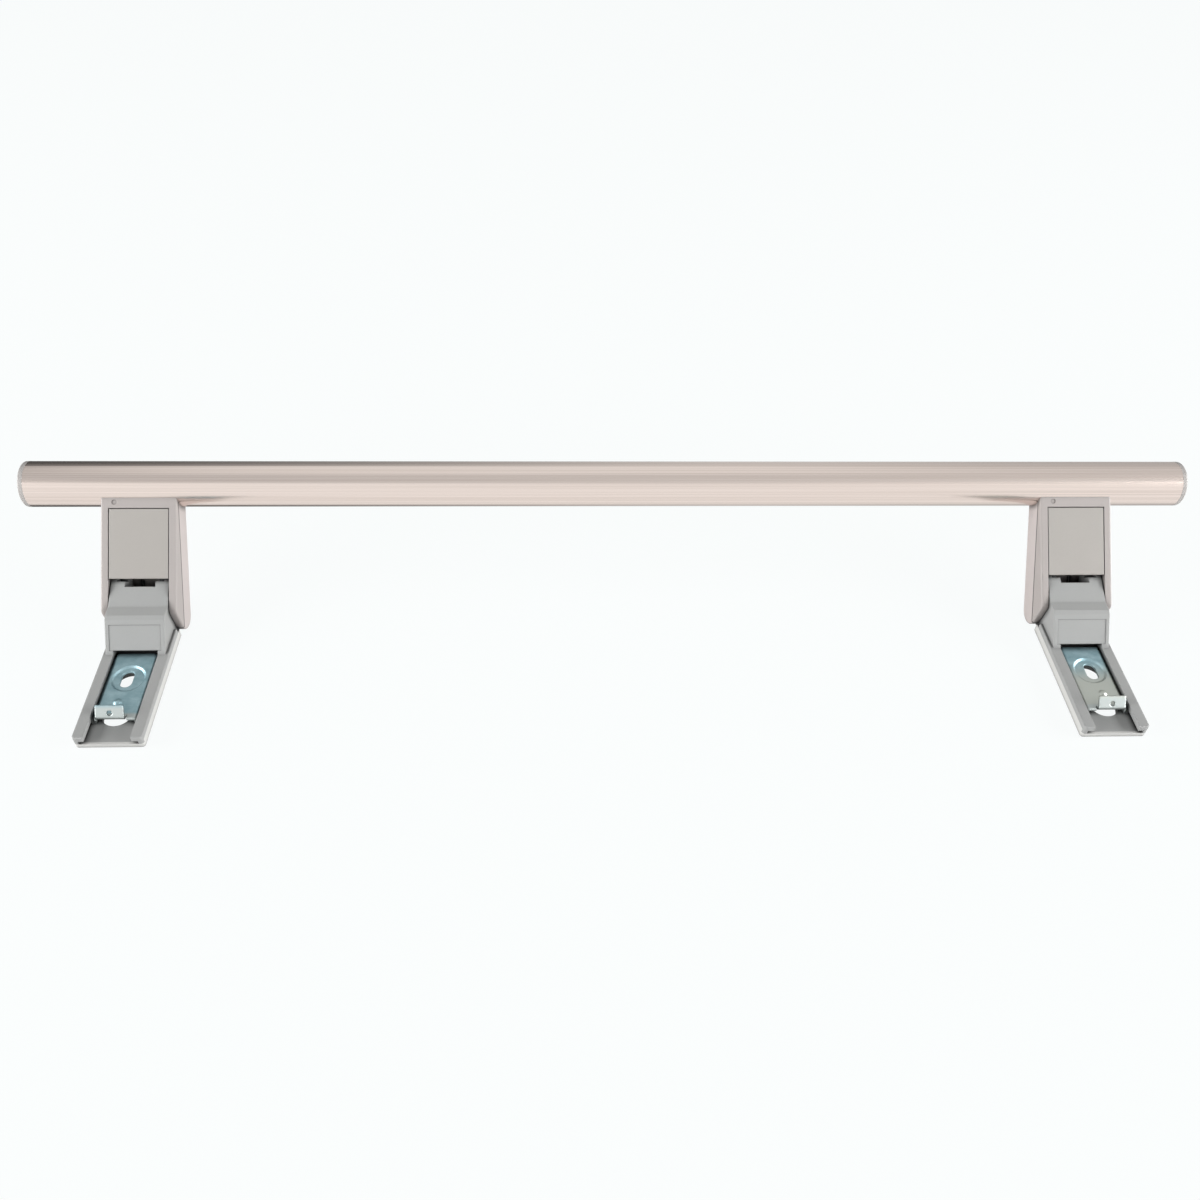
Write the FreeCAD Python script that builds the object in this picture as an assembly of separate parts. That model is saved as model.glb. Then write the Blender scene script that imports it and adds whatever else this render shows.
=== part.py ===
import FreeCAD, Part
import math
import os

from FreeCAD import Vector

# Lever handle for a refrigerator door, in millimetres.
# X runs along the bar, Y from the feet towards the bar, Z out of the door.
# The door's face is the plane Z = 0. The origin lies on it, half way between
# the two brackets, straight under the axis that the levers turn about.
# One bracket is drawn about X = 0 with its outer side towards +X. It is
# placed as drawn on the right and mirrored on the left.

# Bar
BRACKET_SPACING = 386.0     # between the middles of the two brackets
BAR_OVERHANG = 47.0         # from a bracket's middle to the end of the bar
TUBE_DIAMETER = 18.6
TUBE_WALL = 1.2
CAP_RIM = 2.0               # part of a cap that stands outside the tube
CAP_RIM_EDGE = 0.6          # rounding of its outer edge
CAP_SPIGOT_LENGTH = 12.0
CAP_SPIGOT_WALL = 1.6
CAP_RIB_COUNT = 6
CAP_RIB_HEIGHT = 0.45
CAP_RIB_WIDTH = 1.2
CAP_RIB_GAP = 0.03

# Lever: its own frame has the pivot at the origin, Y along the front face
# towards the bar and Z out of that face. It is then leant and lifted.
HEEL_GAP = 0.5              # between the round heel and the door
LEVER_LEAN = 43.5           # degrees from the door to the front face
LEVER_LENGTH = 53.9         # pivot to tube axis, along the front face
TUBE_OFFSET = 5.3           # tube axis in front of the pivot
FACE_OFFSET = 12.1          # front face in front of the pivot
LEVER_WIDTH = 30.1
BACK_OFFSET = 2.0           # back face at the tube's axis, in front of the pivot
KNUCKLE_RADIUS = 5.7        # round heel about the pivot
STRIP_THICKNESS = 8.8       # back shell, from its outer face to the joint line
SEAM_GROOVE = 0.2           # fine groove along the joint between shell and frame
SEAM_GROOVE_DEPTH = 0.4
LEVER_EDGE = 0.7            # rounding of the lever's long outer edges
CHEEK_CORNER = 1.3          # sharp lower front corner, above the pivot
CHEEK_CORNER_RADIUS = 3.0
CHEEK_THICKNESS = 2.95
SHELL_SIDE_WALL = 1.7
SHELL_BACK_WALL = 1.45
KNUCKLE_TOP = 7.5           # the thick part of the shell's sides ends here
SADDLE_THICKNESS = 6.5      # solid end of the shell under the tube
TONGUE_DEPTH = 3.4          # how far the frame reaches into the shell
TONGUE_GAP = 0.1
TONGUE_END = 1.5            # gap between its ends and knuckle and saddle
BRACE_THICKNESS = 1.5
BRACE_RISE = 9.2            # above the cover's lower edge

# Cover plate in the lever's front face
COVER_TOP = 4.2             # below the front face's top edge
COVER_BOTTOM = 14.8         # its lower edge, from the pivot along the front face
COVER_THICKNESS = 1.3
COVER_GAP = 0.2
COVER_EDGE = 0.25           # bevel round the plate
LEDGE_WIDTH = 1.3
LEDGE_THICKNESS = 1.2
LEDGE_END_GAP = 1.2         # the ledges end above the cover's lower edge
HOOK_WIDTH = 5.0
HOOK_THICKNESS = 1.1
HOOK_REACH = 2.9
HOOK_BARB = 0.5
HOOK_GAP = 0.15             # to the ledge
HOOK_RISE = 2.0             # above the plate's middle
EJECTOR_MARK_DIAMETER = 2.0
EJECTOR_MARK_DEPTH = 0.2
EJECTOR_MARK_X = -9.7       # the same side on both brackets
EJECTOR_MARK_TOP = 1.8

# Screw and nut that hold the tube
SCREW_DIAMETER = 5.0
SCREW_HEAD_DIAMETER = 7.6
SCREW_HEAD_HEIGHT = 3.2
SCREW_SOCKET = 3.0          # across flats
SCREW_SOCKET_DEPTH = 1.8
SCREW_LENGTH = 13.0
SCREW_CLEARANCE = 0.25
NUT_LENGTH = 20.0           # along the tube
NUT_FLAT = 3.6              # its cut-off side, beyond the tube's axis

# Pivot
PIN_DIAMETER = 4.0
PIN_RUNNING_GAP = 0.05
PIN_HOLD = 1.4              # depth of the pin's blind hole in each cheek
BOSS_RADIUS = 4.0
PULL_ANGLE = 15.0           # travel of the lever
STOP_GAP = 0.3

# Return spring on the pin
WIRE_DIAMETER = 1.0
COIL_RADIUS = 2.9           # to the middle of the wire
COIL_PITCH = 1.16
COIL_TURNS = 4.5
WIRE_SIDES = 8              # the wire's round section, drawn with this many sides
LEVER_LEG = 15.0
FOOT_LEG = 9.5
SPRING_GAP = 0.03

# Foot: bearing block and rail, in one with each other
FOOT_END = 63.2             # free end of the rail, from the pivot
RAIL_LEDGE = 1.2            # rail beyond the block at each side
RAIL_WALL = 1.9             # beside the plate, under the lips
RAIL_HEIGHT = 6.4
RAIL_REAR = 8.1             # rear end of the upper rail, from the pivot
RAIL_EDGE = 0.5             # rounding of the rail's upper outer edges
LIP_THICKNESS = 2.2
LIP_REACH = 2.3             # lip over the plate's flange
FLOOR_TOP = 2.6
CHANNEL_REACH = 4.5         # how far the channel runs in under the block
CHANNEL_RISE = 1.2          # its ceiling there, above the lips
BLOCK_SIDE_GAP = 0.3
BLOCK_EDGE = 0.4            # rounding of the block's side edges
BLOCK_FRONT = 21.9          # foot of the lower face
STEP_FRONT = 11.9           # front edge of the step
STEP_HEIGHT = 17.9
STEP_REAR = 6.5
STEP_REAR_HEIGHT = 18.1
STEP_REAR_RADIUS = 2.0
STEP_CHAMFER = 0.8
RAMP_DROP = 1.9             # block face under the cover's lower edge
RAMP_END_GAP = 1.3          # the face ends this far below that edge
NOSE_START = 1.2            # the nose rises behind the cover from here
NOSE_END_GAP = 3.5          # between its end and the brace
NOSE_BLUNT = 2.2
NECK_ANGLE = 30.0           # degrees, how far the heel's web comes round the pivot
POCKET_WIDTH = 12.3
POCKET_END = 11.6           # its lower end, from the pivot along the front face
RECESS_WIDTH = 19.0
RECESS_END = 13.8
PANEL_MARGIN = 1.6          # flat margin round the lower face's sunk panel
PANEL_DEPTH = 0.15
POCKET_BEVEL = 1.5          # between the pocket and the spring's room
SLOT_FRONT = 4.6            # front wall of the spring's room
SLOT_BOTTOM = 4.6           # its lower end, below the pivot
FLOOR_HOLE_DIAMETER = 11.2
FLOOR_HOLE_END = 49.1       # centre of the outer hole, from the pivot
FOOT_CORNER = 1.4           # upright corners at the free end

# Foot tray under the rail
TRAY_HEIGHT = 4.2
TRAY_WALL = 0.9
TRAY_FLOOR = 1.2
TRAY_END_WALL = 1.0
TRAY_REAR = 6.1
TRAY_EDGE = 1.0             # rounding of its long lower edges

# Mounting plate, pressed from sheet
SHEET = 1.0
PLATE_SIDE_GAP = 0.3        # between its flanges and the rail's walls
PLATE_LIP_GAP = 0.7         # between its raised middle and the lips
PLATE_RISE = 2.8            # flange underside to top face
PLATE_BEND = 1.2            # outer radius of its long edges
FLANGE_BEND = 0.5
PLATE_START = 20.0
PLATE_START_BEND = 0.8      # rounding of the raised middle's end, under the block
PLATE_END = 53.4
PLATE_CORNER = 2.2
DISH_CENTRE = 33.2
DISH_DIAMETER = 13.2
DISH_DEPTH = 0.7
DISH_SLOPE = 0.8
SCREW_SLOT_WIDTH = 4.8
SCREW_SLOT_LENGTH = 8.2
SCREW_SLOT_X = 0.7
BUMP_CENTRE = 45.2
BUMP_X = 1.0
BUMP_DIAMETER = 3.2
BUMP_HEIGHT = 0.7
TAB_START = 52.2            # where the tab folds up out of the plate
TAB_OUTER = 6.8
TAB_INNER = -3.8
TAB_RELIEF = 0.6            # slot beside the fold
TAB_BEND = 0.3              # inner radius of the fold
TAB_RISE = 51.0             # degrees from the plate, leaning over it
TAB_LENGTH = 4.4            # flat part
TAB_HOLE_DIAMETER = 2.1     # tapping size of M2.5
TAB_HOLE_UP = 1.3           # along the flat part
TAB_CORNER = 0.5

BAR_LENGTH = BRACKET_SPACING + 2 * BAR_OVERHANG
TUBE_RADIUS = TUBE_DIAMETER / 2
BORE_RADIUS = TUBE_RADIUS - TUBE_WALL
PIVOT_HEIGHT = KNUCKLE_RADIUS + HEEL_GAP
# The back face touches the round heel and passes the tube's axis at its offset.
WEDGE_ANGLE = (math.atan2(BACK_OFFSET, LEVER_LENGTH)
               + math.asin(KNUCKLE_RADIUS / math.hypot(LEVER_LENGTH, BACK_OFFSET)))
WEDGE = math.tan(WEDGE_ANGLE)
WEDGE_COS = math.cos(WEDGE_ANGLE)
FACE_TOP = LEVER_LENGTH - math.sqrt(TUBE_RADIUS ** 2 - (FACE_OFFSET - TUBE_OFFSET) ** 2)
OPENING_HALF = LEVER_WIDTH / 2 - CHEEK_THICKNESS
SHELL_INNER_HALF = LEVER_WIDTH / 2 - SHELL_SIDE_WALL
BLOCK_HALF = OPENING_HALF - BLOCK_SIDE_GAP
RAIL_HALF = BLOCK_HALF + RAIL_LEDGE
SLOT_HALF = RAIL_HALF - RAIL_WALL
LIP_GAP_HALF = SLOT_HALF - LIP_REACH
PLATE_HALF = SLOT_HALF - PLATE_SIDE_GAP
PLATE_TOP_HALF = LIP_GAP_HALF - PLATE_LIP_GAP
COVER_TOP_AT = FACE_TOP - COVER_TOP
BRACE_AT = COVER_BOTTOM + BRACE_RISE
LEDGE_TOP_AT = FACE_OFFSET - COVER_THICKNESS
LEDGE_UNDER_AT = LEDGE_TOP_AT - LEDGE_THICKNESS
SADDLE_AT = LEVER_LENGTH - TUBE_RADIUS - SADDLE_THICKNESS
FAR = 200.0                 # longer than any cut needs


def back_at(y, depth=0.0):
    """Height in the lever's frame of the back face, or a plane inside it."""
    return -KNUCKLE_RADIUS / WEDGE_COS + y * WEDGE + depth / WEDGE_COS


def seam_at(y):
    return back_at(y, STRIP_THICKNESS)


def outline(corners):
    """Face in the YZ plane from (y, z, radius) corners, the radius optional."""
    edges = []
    ends = []
    count = len(corners)
    for i in range(count):
        y, z = corners[i][:2]
        radius = corners[i][2] if len(corners[i]) > 2 else 0.0
        here = Vector(0, y, z)
        if radius == 0.0:
            ends.append((here, here))
            continue
        before = Vector(0, *corners[i - 1][:2]) - here
        after = Vector(0, *corners[(i + 1) % count][:2]) - here
        before.normalize()
        after.normalize()
        half = before.getAngle(after) / 2
        reach = radius / math.tan(half)
        middle = before + after
        middle.normalize()
        crest = here + middle * (radius / math.sin(half) - radius)
        start = here + before * reach
        finish = here + after * reach
        edges.append((i, Part.Arc(start, crest, finish).toShape()))
        ends.append((start, finish))
    loop = []
    arcs = dict(edges)
    for i in range(count):
        if i in arcs:
            loop.append(arcs[i])
        start = ends[i][1]
        finish = ends[(i + 1) % count][0]
        if start.distanceToPoint(finish) > 1e-6:
            loop.append(Part.makeLine(start, finish))
    return Part.Face(Part.Wire(loop))


def slab(face, left, right):
    """Sweep a YZ face along X, from left to right."""
    piece = face.extrude(Vector(right - left, 0, 0))
    piece.translate(Vector(left, 0, 0))
    return piece


def box(x, y, z):
    """Box from three (low, high) pairs."""
    return Part.makeBox(x[1] - x[0], y[1] - y[0], z[1] - z[0], Vector(x[0], y[0], z[0]))


def both_sides(inner, outer, y, z):
    """Two equal boxes, at +X and at -X."""
    return box((inner, outer), y, z).fuse(box((-outer, -inner), y, z))


def lean(piece):
    """From the lever's own frame to its place in the bracket."""
    leant = piece.copy()
    leant.rotate(Vector(0, 0, 0), Vector(1, 0, 0), LEVER_LEAN)
    leant.translate(Vector(0, 0, PIVOT_HEIGHT))
    return leant


def stand(y, z):
    """The same for one point, as (y, z)."""
    angle = math.radians(LEVER_LEAN)
    return (y * math.cos(angle) - z * math.sin(angle),
            PIVOT_HEIGHT + y * math.sin(angle) + z * math.cos(angle))


def tube_cut(radius, length=LEVER_WIDTH + 2.0):
    """Cylinder along X about the tube's axis, in the lever's frame."""
    centre = Vector(-length / 2, LEVER_LENGTH, TUBE_OFFSET)
    return Part.makeCylinder(radius, length, centre, Vector(1, 0, 0))


def lever_outline():
    """Side view of the whole lever: face, cheek corner, round heel and back."""
    corner = Vector(0, CHEEK_CORNER, FACE_OFFSET)
    distance = corner.Length
    to_pivot = math.atan2(-corner.z, -corner.y)
    edge = to_pivot - math.asin(KNUCKLE_RADIUS / distance)
    # The cheek's lower edge, y = corner.y + t cos(edge), meets the back's line.
    slope = math.sin(edge) - math.cos(edge) * WEDGE
    t = (back_at(corner.y) - corner.z) / slope
    heel = (corner.y + t * math.cos(edge), corner.z + t * math.sin(edge))
    top = LEVER_LENGTH
    face = outline([(top, FACE_OFFSET),
                    (CHEEK_CORNER, FACE_OFFSET, CHEEK_CORNER_RADIUS),
                    (heel[0], heel[1], KNUCKLE_RADIUS),
                    (top, back_at(top))])
    return face


def side_edges(piece, half, skip_above=FAR):
    """Edges of a slab's two side faces, apart from those beyond a given Y."""
    return [edge for edge in piece.Edges
            if edge.BoundBox.XLength < 1e-6
            and abs(abs(edge.CenterOfMass.x) - half) < 1e-6
            and edge.CenterOfMass.y < skip_above]


def lever_blank():
    """The lever as one solid block with rounded edges, seated on the tube."""
    half = LEVER_WIDTH / 2
    blank = slab(lever_outline(), -half, half)
    blank = blank.makeFillet(LEVER_EDGE, side_edges(blank, half, LEVER_LENGTH - 0.01))
    blank = blank.cut(tube_cut(TUBE_RADIUS))
    top = LEVER_LENGTH - TUBE_RADIUS / 2
    return blank.cut(box((-FAR, FAR), (top, FAR), (-FAR, FAR)))


def lever_shell():
    """Back shell: outer face of the lever, round heel and seat for the tube."""
    strip = outline([(-FAR, back_at(-FAR, -1.0)), (FAR, back_at(FAR, -1.0)),
                     (FAR, seam_at(FAR)), (-FAR, seam_at(-FAR))])
    shell = lever_blank().common(slab(strip, -FAR, FAR))
    # Room between the knuckles, apart from a web that closes the heel's rear.
    room = outline([(-FAR, back_at(-FAR, SHELL_BACK_WALL)),
                    (SADDLE_AT, back_at(SADDLE_AT, SHELL_BACK_WALL)),
                    (SADDLE_AT, FAR), (-FAR, FAR)])
    room = slab(room, -OPENING_HALF, OPENING_HALF)
    start = Vector(-OPENING_HALF, 0, 0)
    axis = Vector(1, 0, 0)
    web = Part.makeCylinder(KNUCKLE_RADIUS + 1, 2 * OPENING_HALF, start, axis)
    web = web.cut(Part.makeCylinder(KNUCKLE_RADIUS - SHELL_BACK_WALL, 2 * OPENING_HALF,
                                    start, axis))
    web_end = math.radians(-90.0 - NECK_ANGLE - LEVER_LEAN)
    middle = (web_end - math.pi / 2) / 2
    behind = outline([(0, 0), (FAR * math.cos(web_end), FAR * math.sin(web_end)),
                      (FAR * math.cos(middle), FAR * math.sin(middle)),
                      (FAR * WEDGE, -FAR)])
    shell = shell.cut(room.cut(web.common(slab(behind, -OPENING_HALF, OPENING_HALF))))
    upper = outline([(KNUCKLE_TOP, back_at(KNUCKLE_TOP, SHELL_BACK_WALL)),
                     (SADDLE_AT, back_at(SADDLE_AT, SHELL_BACK_WALL)),
                     (SADDLE_AT, FAR), (KNUCKLE_TOP, FAR)])
    shell = shell.cut(slab(upper, -SHELL_INNER_HALF, SHELL_INNER_HALF))
    held = OPENING_HALF + PIN_HOLD
    pin_hole = Part.makeCylinder(PIN_DIAMETER / 2, 2 * held, Vector(-held, 0, 0), axis)
    screw_hole = Part.makeCylinder(SCREW_DIAMETER / 2 + SCREW_CLEARANCE, FAR,
                                   Vector(0, 0, TUBE_OFFSET), Vector(0, 1, 0))
    return shell.cut(pin_hole).cut(screw_hole)


def lever_frame():
    """Front frame: header, two cheeks, the cover's ledges and a brace."""
    front = outline([(-FAR, seam_at(-FAR)), (FAR, seam_at(FAR)), (FAR, FAR), (-FAR, FAR)])
    frame = lever_blank().common(slab(front, -FAR, FAR))
    frame = frame.cut(box((-OPENING_HALF, OPENING_HALF), (-FAR, COVER_TOP_AT), (-FAR, FAR)))
    groove = outline([(-FAR, seam_at(-FAR)), (FAR, seam_at(FAR)),
                      (FAR, seam_at(FAR) + SEAM_GROOVE), (-FAR, seam_at(-FAR) + SEAM_GROOVE)])
    groove_start = LEVER_WIDTH / 2 - SEAM_GROOVE_DEPTH
    for left, right in ((groove_start, FAR), (-FAR, -groove_start)):
        frame = frame.cut(slab(groove, left, right))
    low = KNUCKLE_TOP + TONGUE_END
    high = SADDLE_AT - TONGUE_END
    tongue = outline([(low, seam_at(low)), (low, seam_at(low) - TONGUE_DEPTH),
                      (high, seam_at(high) - TONGUE_DEPTH), (high, seam_at(high))])
    tongue_half = SHELL_INNER_HALF - TONGUE_GAP
    for left, right in ((OPENING_HALF, tongue_half), (-tongue_half, -OPENING_HALF)):
        frame = frame.fuse(slab(tongue, left, right))
    ledge_inner = OPENING_HALF - LEDGE_WIDTH
    ledge_end = COVER_BOTTOM + LEDGE_END_GAP
    frame = frame.fuse(both_sides(ledge_inner, OPENING_HALF, (ledge_end, COVER_TOP_AT),
                                  (LEDGE_UNDER_AT, LEDGE_TOP_AT)))
    header_ledge = box((-OPENING_HALF, OPENING_HALF), (COVER_TOP_AT - LEDGE_WIDTH, COVER_TOP_AT),
                       (LEDGE_UNDER_AT, LEDGE_TOP_AT))
    frame = frame.fuse(header_ledge)
    brace_end = BRACE_AT + BRACE_THICKNESS
    brace = outline([(BRACE_AT, seam_at(BRACE_AT)), (brace_end, seam_at(brace_end)),
                     (brace_end, LEDGE_UNDER_AT), (BRACE_AT, LEDGE_UNDER_AT)])
    frame = frame.fuse(slab(brace, -OPENING_HALF, OPENING_HALF))
    return frame.removeSplitter()


def ejector_mark(x):
    """Round mark that the mould leaves at the top of the front face."""
    centre = Vector(x, FACE_TOP - EJECTOR_MARK_TOP, FACE_OFFSET - EJECTOR_MARK_DEPTH)
    return Part.makeCylinder(EJECTOR_MARK_DIAMETER / 2, EJECTOR_MARK_DEPTH, centre,
                             Vector(0, 0, 1))


def cover_plate():
    """Plate that snaps into the frame and hides the tube's screw."""
    half = OPENING_HALF - COVER_GAP
    plate = box((-half, half), (COVER_BOTTOM, COVER_TOP_AT - COVER_GAP),
                (LEDGE_TOP_AT, FACE_OFFSET))
    rim = [edge for edge in plate.Edges if edge.BoundBox.ZMin > FACE_OFFSET - 1e-6]
    plate = plate.makeChamfer(COVER_EDGE, rim)
    outside = OPENING_HALF - LEDGE_WIDTH - HOOK_GAP
    middle = (COVER_BOTTOM + COVER_TOP_AT) / 2 + HOOK_RISE
    for side in (1, -1):
        leg = outline([(middle, LEDGE_TOP_AT), (middle, LEDGE_TOP_AT - HOOK_REACH),
                       (middle + HOOK_WIDTH, LEDGE_TOP_AT - HOOK_REACH),
                       (middle + HOOK_WIDTH, LEDGE_TOP_AT)])
        inner_x = outside - HOOK_THICKNESS
        hook = slab(leg, inner_x, outside)
        barb_top = LEDGE_UNDER_AT - HOOK_GAP
        barb = Part.Face(Part.makePolygon([Vector(outside, middle, barb_top),
                                           Vector(outside + HOOK_BARB, middle, barb_top),
                                           Vector(outside, middle, LEDGE_TOP_AT - HOOK_REACH),
                                           Vector(outside, middle, barb_top)]))
        hook = hook.fuse(barb.extrude(Vector(0, HOOK_WIDTH, 0)))
        if side < 0:
            hook = hook.mirror(Vector(0, 0, 0), Vector(1, 0, 0))
        plate = plate.fuse(hook)
    return plate.removeSplitter()


def tube_screw():
    """Socket screw from inside the lever into the nut in the tube."""
    axis = Vector(0, 1, 0)
    head = Part.makeCylinder(SCREW_HEAD_DIAMETER / 2, SCREW_HEAD_HEIGHT,
                             Vector(0, SADDLE_AT - SCREW_HEAD_HEIGHT, TUBE_OFFSET), axis)
    shank = Part.makeCylinder(SCREW_DIAMETER / 2, SCREW_LENGTH,
                              Vector(0, SADDLE_AT, TUBE_OFFSET), axis)
    corners = []
    for i in range(7):
        angle = math.radians(60 * i)
        reach = SCREW_SOCKET / math.sqrt(3)
        corners.append(Vector(reach * math.cos(angle), SADDLE_AT - SCREW_HEAD_HEIGHT,
                              TUBE_OFFSET + reach * math.sin(angle)))
    socket = Part.Face(Part.makePolygon(corners)).extrude(Vector(0, SCREW_SOCKET_DEPTH, 0))
    return head.fuse(shank).cut(socket)


def tube_nut():
    """Half-round nut that lies inside the tube and takes the screw."""
    nut = tube_cut(BORE_RADIUS, NUT_LENGTH)
    nut = nut.cut(box((-FAR, FAR), (LEVER_LENGTH + NUT_FLAT, FAR), (-FAR, FAR)))
    thread = Part.makeCylinder(SCREW_DIAMETER / 2, FAR, Vector(0, 0, TUBE_OFFSET), Vector(0, 1, 0))
    return nut.cut(thread)


def pivot_pin():
    half = OPENING_HALF + PIN_HOLD
    return Part.makeCylinder(PIN_DIAMETER / 2, 2 * half, Vector(-half, 0, 0), Vector(1, 0, 0))


def return_spring():
    """Torsion spring round the pin, one leg on the lever and one on the foot."""
    radius = WIRE_DIAMETER / 2
    # The foot's leg lies along the front of its room, the lever's leg along
    # the shell's back wall. Both leave the coil on the bar's side.
    foot_room = SLOT_FRONT - COIL_RADIUS - radius - SPRING_GAP
    foot_angle = math.asin(foot_room / FOOT_LEG)
    lever_room = KNUCKLE_RADIUS - SHELL_BACK_WALL - COIL_RADIUS - radius - SPRING_GAP
    lever_angle = WEDGE_ANGLE - math.asin(lever_room / LEVER_LEG)
    turns = COIL_TURNS + (lever_angle - foot_angle) / (2 * math.pi)
    width = COIL_PITCH * turns
    helix = Part.makeHelix(COIL_PITCH, width, COIL_RADIUS)
    helix.rotate(Vector(0, 0, 0), Vector(1, 1, 1), 120)
    helix.rotate(Vector(0, 0, 0), Vector(1, 0, 0), 90 + math.degrees(foot_angle))
    helix.translate(Vector(-width / 2, 0, 0))
    first = helix.OrderedEdges[0]
    last = helix.OrderedEdges[-1]
    start = first.valueAt(first.FirstParameter)
    finish = last.valueAt(last.LastParameter)
    inward = first.tangentAt(first.FirstParameter)
    outward = last.tangentAt(last.LastParameter)
    foot_tip = start - inward * FOOT_LEG
    lever_tip = finish + outward * LEVER_LEG
    path = Part.Wire([Part.makeLine(foot_tip, start)] + helix.OrderedEdges
                     + [Part.makeLine(finish, lever_tip)])
    # The section has the round wire's area.
    corner = radius * math.sqrt(2 * math.pi / (WIRE_SIDES * math.sin(2 * math.pi / WIRE_SIDES)))
    across = inward.cross(Vector(1, 0, 0))
    across.normalize()
    upright = inward.cross(across)
    section = []
    for i in range(WIRE_SIDES + 1):
        angle = 2 * math.pi * i / WIRE_SIDES
        section.append(foot_tip + across * (corner * math.cos(angle))
                       + upright * (corner * math.sin(angle)))
    return path.makePipeShell([Part.makePolygon(section)], True, False)


def block_outline():
    """Side view of the bearing block, from the rail's top up to the nose."""
    ramp = stand(COVER_BOTTOM - RAMP_END_GAP, FACE_OFFSET - RAMP_DROP)
    nose_front = LEDGE_UNDER_AT - STOP_GAP
    ramp_end = stand(COVER_BOTTOM, nose_front + STOP_GAP)
    nose = stand(COVER_BOTTOM + NOSE_START, nose_front)
    nose_top = stand(BRACE_AT - NOSE_END_GAP, nose_front)
    # The nose's rear face meets the shell's back wall at the end of the pull.
    rear = math.radians(LEVER_LEAN + PULL_ANGLE) + WEDGE_ANGLE
    tangent = (BOSS_RADIUS * math.sin(rear), PIVOT_HEIGHT - BOSS_RADIUS * math.cos(rear))
    nose_rear = nose_top[1] - NOSE_BLUNT
    run = (nose_rear - tangent[1]) / math.tan(rear)
    low = TRAY_FLOOR
    neck = -(KNUCKLE_RADIUS * math.sin(math.radians(NECK_ANGLE)) + STOP_GAP)
    slope = (STEP_HEIGHT - RAIL_HEIGHT) / (BLOCK_FRONT - STEP_FRONT)
    bevel_foot = (-STEP_FRONT - STEP_CHAMFER, STEP_HEIGHT - STEP_CHAMFER * slope)
    bevel_top = (-STEP_FRONT + STEP_CHAMFER, STEP_HEIGHT)
    return outline([(-BLOCK_FRONT, low), (-BLOCK_FRONT, RAIL_HEIGHT), bevel_foot, bevel_top,
                    (-STEP_REAR, STEP_REAR_HEIGHT, STEP_REAR_RADIUS), ramp, ramp_end, nose,
                    nose_top, (tangent[0] + run, nose_rear), tangent, (0, PIVOT_HEIGHT),
                    (neck, PIVOT_HEIGHT / 2 + TRAY_FLOOR), (neck, low)])


def channel(start, end):
    """T-shaped room for the plate, higher where it runs in under the block."""
    opening = box((-LIP_GAP_HALF, LIP_GAP_HALF), (-end, -start), (FLOOR_TOP, RAIL_HEIGHT))
    under = box((-SLOT_HALF, SLOT_HALF), (-end, -start), (FLOOR_TOP, RAIL_HEIGHT - LIP_THICKNESS))
    raised = box((-LIP_GAP_HALF, LIP_GAP_HALF), (-BLOCK_FRONT, -start),
                 (FLOOR_TOP, RAIL_HEIGHT + CHANNEL_RISE))
    return opening.fuse(under).fuse(raised)


def floor_holes():
    """Two holes through rail and tray: at the screw slot and beyond the plate."""
    holes = []
    for distance in (DISH_CENTRE, FLOOR_HOLE_END):
        holes.append(Part.makeCylinder(FLOOR_HOLE_DIAMETER / 2, FAR,
                                       Vector(SCREW_SLOT_X, -distance, -FAR / 2), Vector(0, 0, 1)))
    return holes[0].fuse(holes[1])


def foot_plan():
    """The foot's outline from above, with its rounded free end, as a tall block."""
    plan = box((-RAIL_HALF, RAIL_HALF), (-FOOT_END, 0), (-FAR, FAR))
    corners = [edge for edge in plan.Edges
               if edge.BoundBox.ZLength > FAR and edge.BoundBox.YMax < 0]
    return plan.makeFillet(FOOT_CORNER, corners)


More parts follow.
